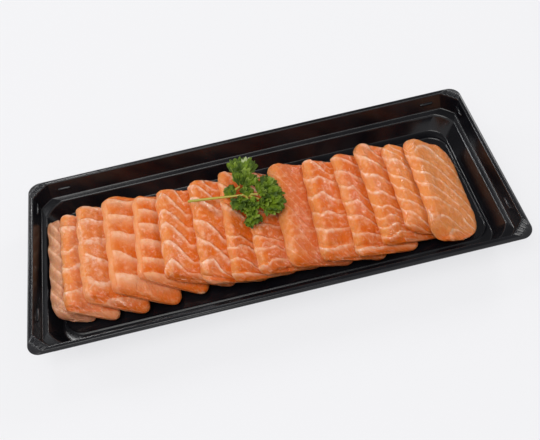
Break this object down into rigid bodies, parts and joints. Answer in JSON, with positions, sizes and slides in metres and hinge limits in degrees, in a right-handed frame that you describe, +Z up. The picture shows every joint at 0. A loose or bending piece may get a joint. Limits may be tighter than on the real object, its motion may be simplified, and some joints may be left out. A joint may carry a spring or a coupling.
{
  "type": "salmon sashimi tray",
  "caption": "Sliced raw salmon sashimi laid in an overlapping row in a shallow black plastic takeaway tray, with a sprig of parsley on top.",
  "frame": {"origin": "middle of the tray's flat underside", "axes": "+X along the tray to its right end, +Y to its far side, +Z up"},
  "size_m": [0.215, 0.092, 0.024],
  "materials": {
    "black_plastic": "glossy thermoformed black sheet",
    "salmon_flesh": "moist raw salmon, orange with pale lines of fat",
    "parsley_green": "fresh curly leaf, satin"
  },
  "bodies": {
    "root": {"tray": "black_plastic", "salmon_slice_01": "salmon_flesh", "salmon_slice_02": "salmon_flesh", "salmon_slice_03": "salmon_flesh", "salmon_slice_04": "salmon_flesh", "salmon_slice_05": "salmon_flesh", "salmon_slice_06": "salmon_flesh", "salmon_slice_07": "salmon_flesh", "salmon_slice_08": "salmon_flesh", "salmon_slice_09": "salmon_flesh", "salmon_slice_10": "salmon_flesh", "salmon_slice_11": "salmon_flesh", "salmon_slice_12": "salmon_flesh", "salmon_slice_13": "salmon_flesh", "salmon_slice_14": "salmon_flesh", "salmon_slice_15": "salmon_flesh", "parsley_sprig": "parsley_green"}
  },
  "joints": []
}
